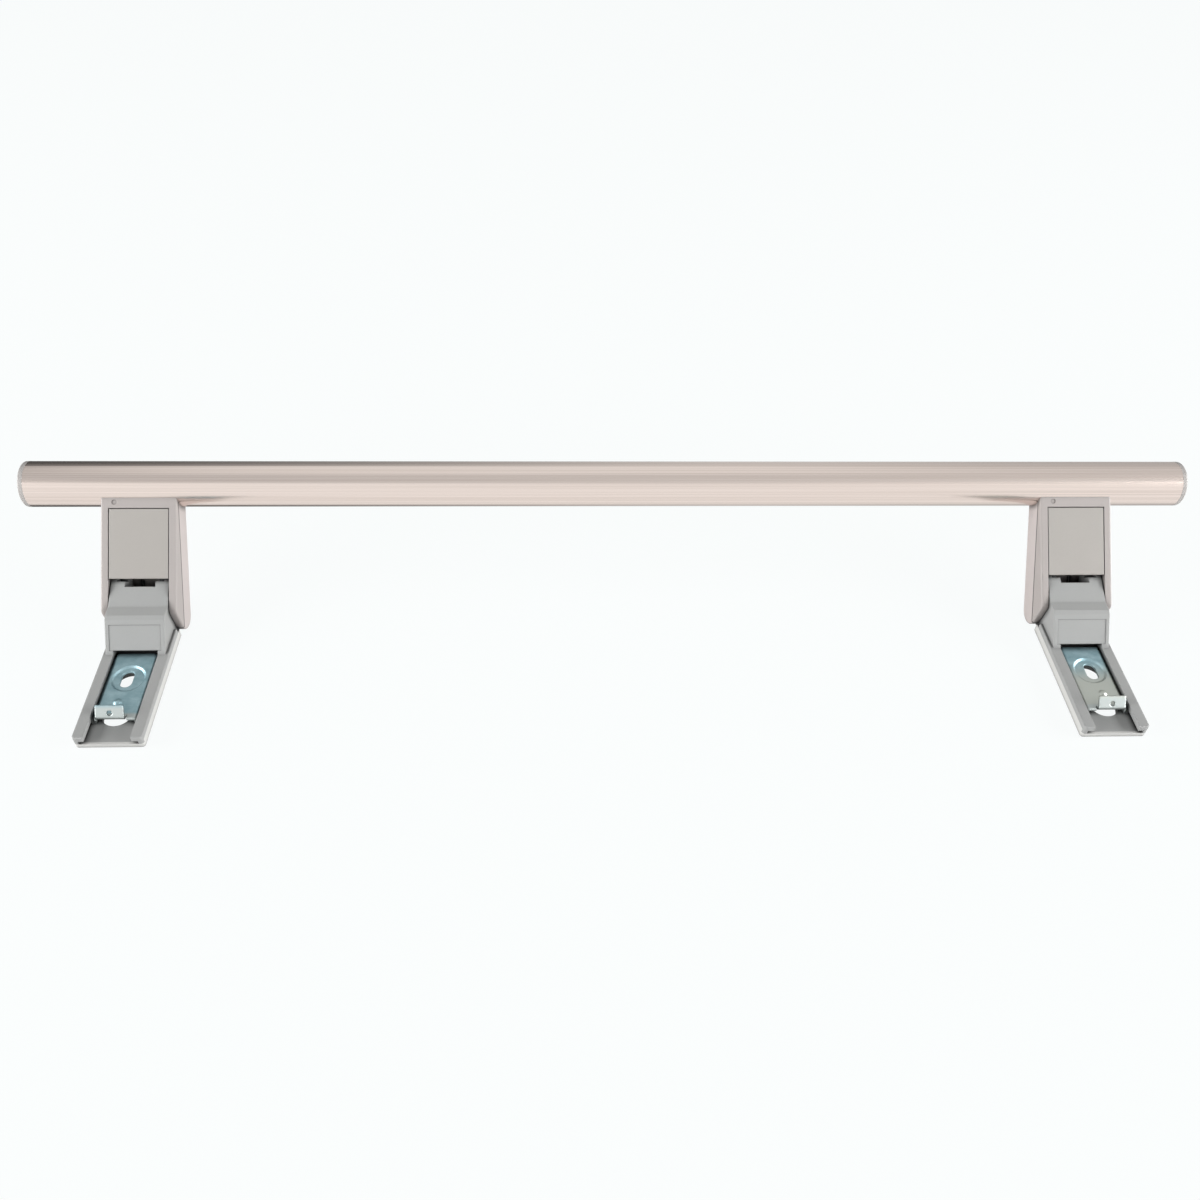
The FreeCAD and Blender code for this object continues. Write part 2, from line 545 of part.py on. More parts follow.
def bearing_rail():
    """Rail with two lips, and the block that carries the pivot pin."""
    upper = box((-RAIL_HALF, RAIL_HALF), (-FOOT_END, -RAIL_REAR), (TRAY_HEIGHT, RAIL_HEIGHT))
    upper = upper.common(foot_plan())
    rim = [edge for edge in upper.Edges
           if edge.BoundBox.ZMin > RAIL_HEIGHT - 1e-6 and edge.BoundBox.YMin < -RAIL_REAR - 1.0]
    upper = upper.makeFillet(RAIL_EDGE, rim)
    inner_half = RAIL_HALF - TRAY_WALL
    lower = box((-inner_half, inner_half), (-FOOT_END + TRAY_END_WALL, -TRAY_REAR),
                (TRAY_FLOOR, TRAY_HEIGHT))
    end_walls = both_sides(SLOT_HALF, RAIL_HALF, (-FOOT_END, -FOOT_END + TRAY_END_WALL),
                           (FLOOR_TOP, TRAY_HEIGHT))
    rail = upper.fuse(lower).fuse(end_walls.common(foot_plan()))
    block = slab(block_outline(), -BLOCK_HALF, BLOCK_HALF)
    block = block.makeFillet(BLOCK_EDGE, side_edges(block, BLOCK_HALF))
    boss = Part.makeCylinder(BOSS_RADIUS, 2 * BLOCK_HALF,
                             Vector(-BLOCK_HALF, 0, PIVOT_HEIGHT), Vector(1, 0, 0))
    foot = rail.fuse(block).fuse(boss)
    foot = foot.cut(channel(BLOCK_FRONT - CHANNEL_REACH, FOOT_END))
    foot = foot.cut(floor_holes()).cut(face_panel())
    # Spring room, pocket and recess follow the lever's front face.
    above = LEVER_LENGTH
    ledge = SLOT_FRONT + POCKET_BEVEL
    room = outline([(-FAR, -FAR), (above, -FAR), (above, FAR), (POCKET_END, FAR),
                    (POCKET_END, ledge), (POCKET_END - POCKET_BEVEL, SLOT_FRONT, 1.0),
                    (-SLOT_BOTTOM, SLOT_FRONT, 1.0), (-SLOT_BOTTOM, -FAR)])
    foot = foot.cut(lean(slab(room, -POCKET_WIDTH / 2, POCKET_WIDTH / 2)))
    foot = foot.cut(lean(box((-RECESS_WIDTH / 2, RECESS_WIDTH / 2), (RECESS_END, above),
                             (ledge, FAR))))
    bore = Part.makeCylinder(PIN_DIAMETER / 2 + PIN_RUNNING_GAP, 2 * LEVER_WIDTH,
                             Vector(-LEVER_WIDTH, 0, PIVOT_HEIGHT), Vector(1, 0, 0))
    return foot.cut(bore).removeSplitter()


def face_panel():
    """Thin slab that sinks the panel into the block's lower face."""
    run = BLOCK_FRONT - STEP_FRONT
    rise = STEP_HEIGHT - RAIL_HEIGHT
    length = math.hypot(run, rise)
    half = BLOCK_HALF - PANEL_MARGIN
    panel = box((-half, half), (PANEL_MARGIN, length - 2 * PANEL_MARGIN), (-PANEL_DEPTH, 1.0))
    panel.rotate(Vector(0, 0, 0), Vector(1, 0, 0), math.degrees(math.atan2(rise, run)))
    panel.translate(Vector(0, -BLOCK_FRONT, RAIL_HEIGHT))
    return panel


def foot_tray():
    """Shallow tray that lies on the door and wraps the rail's sides."""
    tray = box((-RAIL_HALF, RAIL_HALF), (-FOOT_END, -TRAY_REAR), (0, TRAY_HEIGHT))
    tray = tray.common(foot_plan())
    long_edges = [edge for edge in tray.Edges
                  if edge.BoundBox.ZMax < 1e-6 and edge.BoundBox.YLength > FOOT_END / 2]
    tray = tray.makeFillet(TRAY_EDGE, long_edges)
    inside = RAIL_HALF - TRAY_WALL
    tray = tray.cut(box((-inside, inside), (-FOOT_END + TRAY_END_WALL, FAR), (TRAY_FLOOR, FAR)))
    tray = tray.cut(box((-FAR, FAR), (-FAR, -FOOT_END + TRAY_END_WALL), (FLOOR_TOP, FAR)))
    return tray.cut(floor_holes())


def mounting_plate():
    """Pressed steel plate: hat section, dished screw slot and threaded tab."""
    under = FLOOR_TOP
    top = under + PLATE_RISE
    half = PLATE_TOP_HALF
    flange_half = PLATE_HALF
    inner = half - SHEET
    over = under + SHEET
    bend_inside = PLATE_BEND - SHEET
    section = [(-flange_half, under), (-inner, under, FLANGE_BEND), (-inner, top - SHEET, bend_inside),
               (inner, top - SHEET, bend_inside), (inner, under, FLANGE_BEND), (flange_half, under),
               (flange_half, over), (half, over, FLANGE_BEND), (half, top, PLATE_BEND),
               (-half, top, PLATE_BEND), (-half, over, FLANGE_BEND), (-flange_half, over)]
    hat = outline(section).extrude(Vector(PLATE_END - PLATE_START, 0, 0))
    hat.rotate(Vector(0, 0, 0), Vector(0, 0, 1), -90)
    hat.translate(Vector(0, -PLATE_START, 0))
    corners = [edge for edge in hat.Edges
               if edge.BoundBox.ZLength > SHEET * 0.9 and edge.BoundBox.XLength < 1e-6
               and edge.BoundBox.YLength < 1e-6
               and abs(abs(edge.CenterOfMass.x) - flange_half) < 1e-6]
    plate = hat.makeFillet(PLATE_CORNER, corners)
    rear_edge = [edge for edge in plate.Edges
                 if edge.BoundBox.ZMin > top - 1e-6 and edge.BoundBox.YMin > -PLATE_START - 1e-6]
    plate = plate.makeFillet(PLATE_START_BEND, rear_edge)
    centre = Vector(0, -DISH_CENTRE, 0)
    rim = DISH_DIAMETER / 2
    pressed = Part.makeCone(rim - DISH_SLOPE, rim, DISH_DEPTH,
                            centre + Vector(0, 0, top - DISH_DEPTH), Vector(0, 0, 1))
    backing = Part.makeCone(rim - DISH_SLOPE + SHEET / 2, rim + SHEET / 2, DISH_DEPTH,
                            centre + Vector(0, 0, top - DISH_DEPTH - SHEET), Vector(0, 0, 1))
    plate = plate.fuse(backing).cut(pressed)
    half_run = (SCREW_SLOT_LENGTH - SCREW_SLOT_WIDTH) / 2
    half_slot = SCREW_SLOT_WIDTH / 2
    slot = box((SCREW_SLOT_X - half_slot, SCREW_SLOT_X + half_slot),
               (-DISH_CENTRE - half_run, -DISH_CENTRE + half_run), (-FAR, FAR))
    for y in (-DISH_CENTRE - half_run, -DISH_CENTRE + half_run):
        slot = slot.fuse(Part.makeCylinder(half_slot, 2 * FAR, Vector(SCREW_SLOT_X, y, -FAR),
                                           Vector(0, 0, 1)))
    plate = plate.cut(slot)
    ball_radius = ((BUMP_DIAMETER / 2) ** 2 + BUMP_HEIGHT ** 2) / (2 * BUMP_HEIGHT)
    ball = Part.makeSphere(ball_radius, Vector(BUMP_X, -BUMP_CENTRE, top + BUMP_HEIGHT - ball_radius))
    bump = ball.common(box((-FAR, FAR), (-FAR, FAR), (top - SHEET / 2, FAR)))
    plate = plate.fuse(bump)
    # The sheet is cut back to the fold, with a relief slot at each side of it.
    fold = box((TAB_INNER, TAB_OUTER), (-FAR, -TAB_START), (top - SHEET, FAR))
    relief = box((TAB_INNER - TAB_RELIEF, TAB_OUTER + TAB_RELIEF),
                 (-FAR, -TAB_START + TAB_RELIEF), (top - SHEET, FAR))
    relief = relief.cut(box((TAB_INNER, TAB_OUTER), (-TAB_START, 0), (-FAR, FAR)))
    plate = plate.cut(fold).cut(relief)
    return plate.fuse(plate_tab(top)).removeSplitter()


def plate_tab(top):
    """Tab folded up from the plate's free end and back over it."""
    rise = math.radians(TAB_RISE)
    along = Vector(0, math.cos(rise), math.sin(rise))
    out = Vector(0, -math.sin(rise), math.cos(rise))
    outside = TAB_BEND + SHEET
    bend_centre = Vector(0, -TAB_START, top + TAB_BEND)
    tip = bend_centre + along * TAB_LENGTH
    outer_corner = -TAB_START - outside / math.tan(rise / 2)
    inner_corner = -TAB_START - TAB_BEND / math.tan(rise / 2)
    outer_tip = tip + out * outside
    inner_tip = tip + out * TAB_BEND
    side = outline([(-TAB_START, top - SHEET), (outer_corner, top - SHEET, outside),
                    (outer_tip.y, outer_tip.z), (inner_tip.y, inner_tip.z),
                    (inner_corner, top, TAB_BEND), (-TAB_START, top)])
    tab = slab(side, TAB_INNER, TAB_OUTER)
    corners = [edge for edge in tab.Edges
               if edge.BoundBox.XLength < 1e-6 and abs(edge.Length - SHEET) < 1e-6
               and edge.CenterOfMass.z > inner_tip.z]
    tab = tab.makeFillet(TAB_CORNER, corners)
    hole_at = bend_centre + along * TAB_HOLE_UP
    hole_at.x = (TAB_INNER + TAB_OUTER) / 2
    return tab.cut(Part.makeCylinder(TAB_HOLE_DIAMETER / 2, 3 * SHEET, hole_at - out * SHEET, out))


def tube():
    """Bar of round tube, drilled for the two screws."""
    length = BAR_LENGTH - 2 * CAP_RIM
    y, z = stand(LEVER_LENGTH, TUBE_OFFSET)
    start = Vector(-length / 2, y, z)
    axis = Vector(1, 0, 0)
    bar = Part.makeCylinder(TUBE_RADIUS, length, start, axis)
    bar = bar.cut(Part.makeCylinder(BORE_RADIUS, length, start, axis))
    angle = math.radians(LEVER_LEAN)
    for side in (1, -1):
        centre = Vector(side * BRACKET_SPACING / 2, y, z)
        down = Vector(0, -math.cos(angle), -math.sin(angle))
        bar = bar.cut(Part.makeCylinder(SCREW_DIAMETER / 2 + SCREW_CLEARANCE, 2 * TUBE_RADIUS,
                                        centre, down))
    return bar


def end_cap(side):
    """Push-in cap: rim outside the tube, ribbed hollow spigot inside it."""
    y, z = stand(LEVER_LENGTH, TUBE_OFFSET)
    face = Vector(side * BAR_LENGTH / 2, y, z)
    inward = Vector(-side, 0, 0)
    rim = Part.makeCylinder(TUBE_RADIUS, CAP_RIM, face, inward)
    edge = [item for item in rim.Edges if abs(item.CenterOfMass.x - face.x) < 1e-6]
    rim = rim.makeFillet(CAP_RIM_EDGE, edge)
    seat = face + inward * CAP_RIM
    spigot = Part.makeCylinder(BORE_RADIUS - CAP_RIB_HEIGHT, CAP_SPIGOT_LENGTH, seat, inward)
    for i in range(CAP_RIB_COUNT):
        angle = math.radians(360.0 * i / CAP_RIB_COUNT)
        rib = box((0, CAP_SPIGOT_LENGTH), (-CAP_RIB_WIDTH / 2, CAP_RIB_WIDTH / 2),
                  (BORE_RADIUS - CAP_SPIGOT_WALL, BORE_RADIUS - CAP_RIB_GAP))
        rib.rotate(Vector(0, 0, 0), Vector(1, 0, 0), math.degrees(angle))
        if side > 0:
            rib.translate(Vector(-CAP_SPIGOT_LENGTH, 0, 0))
        rib.translate(seat)
        spigot = spigot.fuse(rib)
    hollow = Part.makeCylinder(BORE_RADIUS - CAP_RIB_HEIGHT - CAP_SPIGOT_WALL,
                               CAP_SPIGOT_LENGTH, seat, inward)
    return rim.fuse(spigot.cut(hollow)).removeSplitter()


def place(piece, side):
    """Put a piece of the bracket on its side of the bar."""
    placed = piece.copy()
    if side < 0:
        placed = placed.mirror(Vector(0, 0, 0), Vector(1, 0, 0))
    placed.translate(Vector(side * BRACKET_SPACING / 2, 0, 0))
    return placed


def save(name, piece):
    solids = piece.Solids
    if len(solids) != 1 or not piece.isValid():
        print("CHECK", name, "solids", len(solids), "valid", piece.isValid())
    solids[0].exportStep(os.path.join("parts", name + ".step"))
    bounds = piece.BoundBox
    print("%-22s %8.0f mm3  X %.1f %.1f  Y %.1f %.1f  Z %.1f %.1f" %
          (name, piece.Volume, bounds.XMin, bounds.XMax, bounds.YMin, bounds.YMax,
           bounds.ZMin, bounds.ZMax))


def build():
    os.makedirs("parts", exist_ok=True)
    save("tube", tube())
    save("left_end_cap", end_cap(-1))
    save("right_end_cap", end_cap(1))
    frame = lever_frame()
    bracket = {
        "lever_shell": lean(lever_shell()),
        "lever_cover": lean(cover_plate()),
        "tube_screw": lean(tube_screw()),
        "tube_nut": lean(tube_nut()),
        "pivot_pin": lean(pivot_pin()),
        "return_spring": lean(return_spring()),
        "bearing_rail": bearing_rail(),
        "foot_tray": foot_tray(),
        "mounting_plate": mounting_plate(),
    }
    for side, word in ((-1, "left"), (1, "right")):
        marked = frame.cut(ejector_mark(side * EJECTOR_MARK_X))
        save(word + "_lever_frame", place(lean(marked), side))
        for name, piece in bracket.items():
            save(word + "_" + name, place(piece, side))


build()
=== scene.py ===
import math

import bpy
from mathutils import Matrix, Vector

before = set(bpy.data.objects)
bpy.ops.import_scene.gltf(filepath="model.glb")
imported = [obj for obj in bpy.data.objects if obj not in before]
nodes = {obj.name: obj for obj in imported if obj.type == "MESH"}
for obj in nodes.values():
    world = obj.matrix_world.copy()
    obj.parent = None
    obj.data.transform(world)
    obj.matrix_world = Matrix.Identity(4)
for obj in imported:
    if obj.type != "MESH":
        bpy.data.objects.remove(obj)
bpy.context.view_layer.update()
bpy.ops.object.select_all(action="DESELECT")

# The photograph's camera
# It stands close in front of the middle of the bar, so that the feet splay
# outwards, and looks down at about 46 degrees with a slight turn and roll.
CAMERA_PLACE = Vector((-0.0263, -0.3125, 0.3340))
CAMERA_DOWN = math.radians(45.62)
CAMERA_TURN = math.radians(3.607)
CAMERA_ROLL = math.radians(2.29)
CAMERA_SENSOR = 36.0        # width of its film, mm
CAMERA_NEAR = 0.01          # distance from which it shows things, m
PHOTO_WIDTH = 1200
FOCAL_PIXELS = 1075

ahead = Vector((math.sin(CAMERA_TURN) * math.cos(CAMERA_DOWN),
                math.cos(CAMERA_TURN) * math.cos(CAMERA_DOWN), -math.sin(CAMERA_DOWN)))
level = Vector((math.cos(CAMERA_TURN), -math.sin(CAMERA_TURN), 0))
across = Matrix.Rotation(-CAMERA_ROLL, 3, ahead) @ level
upward = across.cross(ahead)
bpy.ops.object.camera_add()
camera = bpy.context.object
camera.name = "photo_camera"
camera.data.sensor_fit = "HORIZONTAL"
camera.data.sensor_width = CAMERA_SENSOR
camera.data.lens = FOCAL_PIXELS / PHOTO_WIDTH * CAMERA_SENSOR
camera.data.clip_start = CAMERA_NEAR
camera.matrix_world = (Matrix.Translation(CAMERA_PLACE)
                       @ Matrix((across, upward, -ahead)).transposed().to_4x4())
bpy.context.scene.camera = camera

# Floor and room
# The handle lies on a plain white sheet, which stands for the door's face, in a
# white room. Metal mirrors the room's bright front, greyer ceiling, plain side
# walls, and a back that is dark at the foot and clears upwards and right.
FLOOR_SIZE = 8.0
FLOOR_DROP = 0.0003
FLOOR_COLOR = (0.80, 0.80, 0.80, 1)
FLOOR_SHADOW_SHARE = 0.06
BACKGROUND_COLOR = (0.977, 1.0, 0.998, 1)
ROOM_COLOR = (1, 1, 1, 1)
ROOM_STRENGTH = 0.168
# Heights are sines of the elevation, turns are directions from left, -1, to
# right, 1, and shades are shares of white.
FRONT_HEIGHTS = (0.61, 0.71)
CEILING_TURN = (-0.6, 0.1)
CEILING_SHADES = (0.54, 0.71)
BACK_HEIGHTS = (0.25, 0.85)
BACK_TOP = 0.92
LEFT_TURN = (-0.52, -0.26)
LEFT_SHADES = (0.54, 1.0)
RIGHT_TURN = (0.15, 0.50)
RIGHT_SHADES = (1.0, 0.76)
FOOT_TURN = (-0.45, 0.25)
FOOT_SHADES = (0.12, 0.70)
ROUND_TURN = (-0.15, 0.15)  # where the front passes into the back
SIDE_TURN = (0.60, 0.78)    # where both pass into the side walls
SIDE_SHADE = 0.72

bpy.context.scene.view_settings.view_transform = "Standard"
bpy.ops.mesh.primitive_plane_add(size=FLOOR_SIZE, location=(0, 0, -FLOOR_DROP))
bpy.ops.object.transform_apply()
floor = bpy.context.object
floor.name = "floor"


def calculated(shaders, links, operation, *levels):
    """The result of a sum on levels, each a number or a socket."""
    step = shaders.new("ShaderNodeMath")
    step.operation = operation
    for place, level in enumerate(levels):
        if isinstance(level, float):
            step.inputs[place].default_value = level
        else:
            links.new(level, step.inputs[place])
    return step.outputs["Value"]


def graded(shaders, links, value, span, levels=(0.0, 1.0)):
    """Softly from one level to another while a value crosses a span."""
    fall = shaders.new("ShaderNodeMapRange")
    fall.interpolation_type = "SMOOTHSTEP"
    fall.inputs["From Min"].default_value = span[0]
    fall.inputs["From Max"].default_value = span[1]
    fall.inputs["To Min"].default_value = levels[0]
    fall.inputs["To Max"].default_value = levels[1]
    links.new(value, fall.inputs["Value"])
    return fall.outputs["Result"]


def blended(shaders, links, share, first, second):
    """Two levels, each a number or a socket, blended by a share."""
    blend = shaders.new("ShaderNodeMix")
    blend.data_type = "FLOAT"
    links.new(share, blend.inputs["Factor"])
    for socket, level in (("A", first), ("B", second)):
        if isinstance(level, float):
            blend.inputs[socket].default_value = level
        else:
            links.new(level, blend.inputs[socket])
    return blend.outputs["Result"]


def mixed(shaders, links, share, first, second):
    """Two surfaces, mixed by a share that is a number or a socket."""
    mix = shaders.new("ShaderNodeMixShader")
    if isinstance(share, float):
        mix.inputs["Fac"].default_value = share
    else:
        links.new(share, mix.inputs["Fac"])
    links.new(first, mix.inputs[1])
    links.new(second, mix.inputs[2])
    return mix.outputs["Shader"]


def rays_that_see(shaders, links):
    """One for rays from camera, metal and glass, else zero, and the same for the camera alone."""
    path = shaders.new("ShaderNodeLightPath")
    by_camera = path.outputs["Is Camera Ray"]
    direct = by_camera
    for ray in ("Is Glossy Ray", "Is Transmission Ray"):
        direct = calculated(shaders, links, "MAXIMUM", direct, path.outputs[ray])
    return direct, by_camera


floor_paint = bpy.data.materials.new("pale_floor")
floor_paint.use_nodes = True
shaders = floor_paint.node_tree.nodes
links = floor_paint.node_tree.links
shaders.clear()
matt = shaders.new("ShaderNodeBsdfDiffuse")
matt.inputs["Color"].default_value = FLOOR_COLOR
glow = shaders.new("ShaderNodeEmission")
glow.inputs["Color"].default_value = BACKGROUND_COLOR
veiled = mixed(shaders, links, FLOOR_SHADOW_SHARE, glow.outputs["Emission"], matt.outputs["BSDF"])
# Metal looks through the floor, at the lower half of the same room.
clear = shaders.new("ShaderNodeBsdfTransparent")
direct, by_camera = rays_that_see(shaders, links)
shown = mixed(shaders, links, by_camera, clear.outputs["BSDF"], veiled)
surface = shaders.new("ShaderNodeOutputMaterial")
links.new(mixed(shaders, links, direct, matt.outputs["BSDF"], shown), surface.inputs["Surface"])
floor.data.materials.append(floor_paint)

room = bpy.data.worlds.new("light_tent")
bpy.context.scene.world = room
room.use_nodes = True
shaders = room.node_tree.nodes
links = room.node_tree.links
shaders.clear()
tent = shaders.new("ShaderNodeBackground")
tent.inputs["Color"].default_value = ROOM_COLOR
tent.inputs["Strength"].default_value = ROOM_STRENGTH
towards = shaders.new("ShaderNodeTexCoord")
direction = shaders.new("ShaderNodeSeparateXYZ")
links.new(towards.outputs["Generated"], direction.inputs["Vector"])
sideways = direction.outputs["X"]
upwards = direction.outputs["Z"]
ceiling = graded(shaders, links, sideways, CEILING_TURN, CEILING_SHADES)
above_front = graded(shaders, links, upwards, FRONT_HEIGHTS)
front_wall = blended(shaders, links, above_front, 1.0, ceiling)
foot = graded(shaders, links, sideways, FOOT_TURN, FOOT_SHADES)
above_foot = graded(shaders, links, upwards, BACK_HEIGHTS)
back_wall = blended(shaders, links, above_foot, foot, BACK_TOP)
for span, shades in ((LEFT_TURN, LEFT_SHADES), (RIGHT_TURN, RIGHT_SHADES)):
    shade = graded(shaders, links, sideways, span, shades)
    back_wall = calculated(shaders, links, "MULTIPLY", back_wall, shade)
behind = graded(shaders, links, direction.outputs["Y"], ROUND_TURN)
front_and_back = blended(shaders, links, behind, front_wall, back_wall)
aside = calculated(shaders, links, "ABSOLUTE", sideways)
beside = graded(shaders, links, aside, SIDE_TURN)
mirrored = blended(shaders, links, beside, front_and_back, SIDE_SHADE)
# The camera itself sees the room without these shades.
direct, by_camera = rays_that_see(shaders, links)
backdrop = shaders.new("ShaderNodeBackground")
backdrop.inputs["Color"].default_value = BACKGROUND_COLOR
links.new(blended(shaders, links, by_camera, mirrored, 1.0), backdrop.inputs["Strength"])
around = shaders.new("ShaderNodeOutputWorld")
seen = mixed(shaders, links, direct, tent.outputs["Background"], backdrop.outputs["Background"])
links.new(seen, around.inputs["Surface"])

# Lamps
# Two soft boxes stand low at the two sides. A long flat one in front lights
# matt faces only, so that it draws no hard line along the tube.
LAMPS = {
    "left_soft_box": {"place": (-1.30, -0.28, 0.40), "size": (0.9, 0.9), "watts": 23.8},
    "right_soft_box": {"place": (1.30, -0.28, 0.40), "size": (0.9, 0.9), "watts": 24.8},
    "front_soft_box": {"place": (0.08, -1.10, 0.70), "size": (2.4, 0.4), "watts": 3.5},
}
for name, lamp in LAMPS.items():
    bpy.ops.object.light_add(type="AREA", location=lamp["place"])
    light = bpy.context.object
    light.name = name
    light.data.shape = "RECTANGLE"
    light.data.size, light.data.size_y = lamp["size"]
    light.data.energy = lamp["watts"]
    light.rotation_mode = "QUATERNION"
    light.rotation_quaternion = Vector(lamp["place"]).to_track_quat("Z", "Y")
    light.visible_glossy = name != "front_soft_box"

# Bar
# A straight piece of thin round stainless tube, 18.6 mm across, brushed along
# its length. Two socket screws hold it to the levers from inside them.
TUBE_COLOR = (0.85, 0.73, 0.675)
TUBE_STREAK = (0.73, 0.62, 0.565)
TUBE_COLOR_SPAN = (0.32, 0.62)      # parts of the noise over which colours run
TUBE_ROUGH = 0.25
TUBE_POLISHED = 0.18
TUBE_POLISH_SPAN = (0.3, 0.7)
STREAKS_ALONG = 3.0         # streaks per metre along the bar
STREAKS_ROUND = 1700.0      # and per metre across it
SCRATCH_STRENGTH = 0.05
SCRATCH_DEPTH = 0.00002     # m
NOISE_DETAIL = 3.0
NOISE_ROUGHNESS = 0.6


def blank_material(name, metallic=0.0):
    """A new material with only the surface shader in it."""
    made = bpy.data.materials.new(name)
    made.use_nodes = True
    shader = made.node_tree.nodes["Principled BSDF"]
    shader.inputs["Metallic"].default_value = metallic
    return made, made.node_tree.nodes, made.node_tree.links, shader


def stretched_noise(shaders, links, scale, detail=NOISE_DETAIL):
    """Noise on the object's own coordinates, with its own scale each way."""
    where = shaders.new("ShaderNodeTexCoord")
    stretch = shaders.new("ShaderNodeMapping")
    stretch.inputs["Scale"].default_value = scale
    noise = shaders.new("ShaderNodeTexNoise")
    noise.inputs["Scale"].default_value = 1.0
    noise.inputs["Detail"].default_value = detail
    noise.inputs["Roughness"].default_value = NOISE_ROUGHNESS
    links.new(where.outputs["Object"], stretch.inputs["Vector"])
    links.new(stretch.outputs["Vector"], noise.inputs["Vector"])
    return noise.outputs["Fac"]


def ramped(shaders, links, level, low, high, span):
    """From one colour or grey to another while a level crosses a span."""
    ramp = shaders.new("ShaderNodeValToRGB")
    for stop, value, place in zip(ramp.color_ramp.elements, (low, high), span):
        color = value if isinstance(value, tuple) else (value,) * 3
        stop.color = (*color, 1)
        stop.position = place
    links.new(level, ramp.inputs["Fac"])
    return ramp.outputs["Color"]


def dress(node, material):
    """Give a carried-over piece its finish."""
    for slot in nodes[node].material_slots:
        slot.material = material


brushed, shaders, links, shader = blank_material("brushed_tube", metallic=1.0)
streaks = stretched_noise(shaders, links, (STREAKS_ALONG, STREAKS_ROUND, STREAKS_ROUND))
tint = ramped(shaders, links, streaks, TUBE_STREAK, TUBE_COLOR, TUBE_COLOR_SPAN)
links.new(tint, shader.inputs["Base Color"])
polish = ramped(shaders, links, streaks, TUBE_ROUGH, TUBE_POLISHED, TUBE_POLISH_SPAN)
links.new(polish, shader.inputs["Roughness"])
scratches = shaders.new("ShaderNodeBump")
scratches.inputs["Strength"].default_value = SCRATCH_STRENGTH
scratches.inputs["Distance"].default_value = SCRATCH_DEPTH
links.new(streaks, scratches.inputs["Height"])
links.new(scratches.outputs["Normal"], shader.inputs["Normal"])
dress("tube", brushed)

# End caps
# Moulded plugs, pressed into the tube on six small ribs. Their silver rim is
# flush with the tube and hides its cut end.
CAP_COLOR = (0.43, 0.41, 0.395)
CAP_ROUGHNESS = 0.45
# Painted shade in gaps and hollows:
GAP_REACH = 0.0025          # how far a wall may be to darken a gap, m
GAP_DEPTH = 1.6             # power that deepens the shade in narrow gaps
HOLLOW_REACH = 0.014        # the same for deep hollows, m
HOLLOW_OPEN = 0.50          # share of open view above which nothing darkens
HOLLOW_SHADE = 0.03         # what is left of the colour in the deepest places
GRAIN_SIZE = 2200.0         # grains per metre
GRAIN_DETAIL = 2.0
GRAIN_DEPTH = 0.00001       # m
GRAIN_STRENGTH = 0.6
GRAIN_CONTRAST = 0.06
CLOUD_SIZE = 70.0           # wide, faint clouds per metre
CLOUD_DETAIL = 3.0
PLASTIC_EDGE = 0.0003       # rounding that catches light along moulded edges, m


def scaled(shaders, links, color, share):
    """A colour made darker or lighter by a share."""
    change = shaders.new("ShaderNodeVectorMath")
    change.operation = "SCALE"
    links.new(color, change.inputs[0])
    links.new(share, change.inputs["Scale"])
    return change.outputs["Vector"]


# Painted shade: ambient occlusion darkens the colour in narrow gaps and deep hollows, where shade falls.
gap_shade = bpy.data.node_groups.new("gap_shade", "ShaderNodeTree")
gap_shade.interface.new_socket("Color", in_out="INPUT", socket_type="NodeSocketColor")
gap_shade.interface.new_socket("Color", in_out="OUTPUT", socket_type="NodeSocketColor")
shaders = gap_shade.nodes
links = gap_shade.links
given = shaders.new("NodeGroupInput")
result = shaders.new("NodeGroupOutput")
gap = shaders.new("ShaderNodeAmbientOcclusion")
gap.inputs["Distance"].default_value = GAP_REACH
in_gap = calculated(shaders, links, "POWER", gap.outputs["AO"], GAP_DEPTH)
hollow = shaders.new("ShaderNodeAmbientOcclusion")
hollow.inputs["Distance"].default_value = HOLLOW_REACH
in_hollow = graded(shaders, links, hollow.outputs["AO"], (0.0, HOLLOW_OPEN), (HOLLOW_SHADE, 1.0))
shade = calculated(shaders, links, "MULTIPLY", in_gap, in_hollow)
links.new(scaled(shaders, links, given.outputs["Color"], shade), result.inputs["Color"])


def colored_with_painted_shade(shaders, links, color, shader):
    """Give the shader a colour with painted shade in gaps and hollows."""
    shade = shaders.new("ShaderNodeGroup")
    shade.node_tree = gap_shade
    links.new(color, shade.inputs["Color"])
    links.new(shade.outputs["Color"], shader.inputs["Base Color"])


moulded_grain = bpy.data.node_groups.new("moulded_grain", "ShaderNodeTree")
for socket, kind in (("Color", "NodeSocketColor"), ("Contrast", "NodeSocketFloat"),
                     ("Roughness", "NodeSocketFloat"), ("Grain Size", "NodeSocketFloat"),
                     ("Depth", "NodeSocketFloat")):
    moulded_grain.interface.new_socket(socket, in_out="INPUT", socket_type=kind)
for socket, kind in (("Color", "NodeSocketColor"), ("Roughness", "NodeSocketFloat"),
                     ("Normal", "NodeSocketVector")):
    moulded_grain.interface.new_socket(socket, in_out="OUTPUT", socket_type=kind)
shaders = moulded_grain.nodes
links = moulded_grain.links
given = shaders.new("NodeGroupInput")
result = shaders.new("NodeGroupOutput")
where = shaders.new("ShaderNodeTexCoord")
fine = shaders.new("ShaderNodeTexNoise")
fine.inputs["Detail"].default_value = GRAIN_DETAIL
links.new(where.outputs["Object"], fine.inputs["Vector"])
links.new(given.outputs["Grain Size"], fine.inputs["Scale"])
cloudy = shaders.new("ShaderNodeTexNoise")
cloudy.inputs["Scale"].default_value = CLOUD_SIZE
cloudy.inputs["Detail"].default_value = CLOUD_DETAIL
links.new(where.outputs["Object"], cloudy.inputs["Vector"])
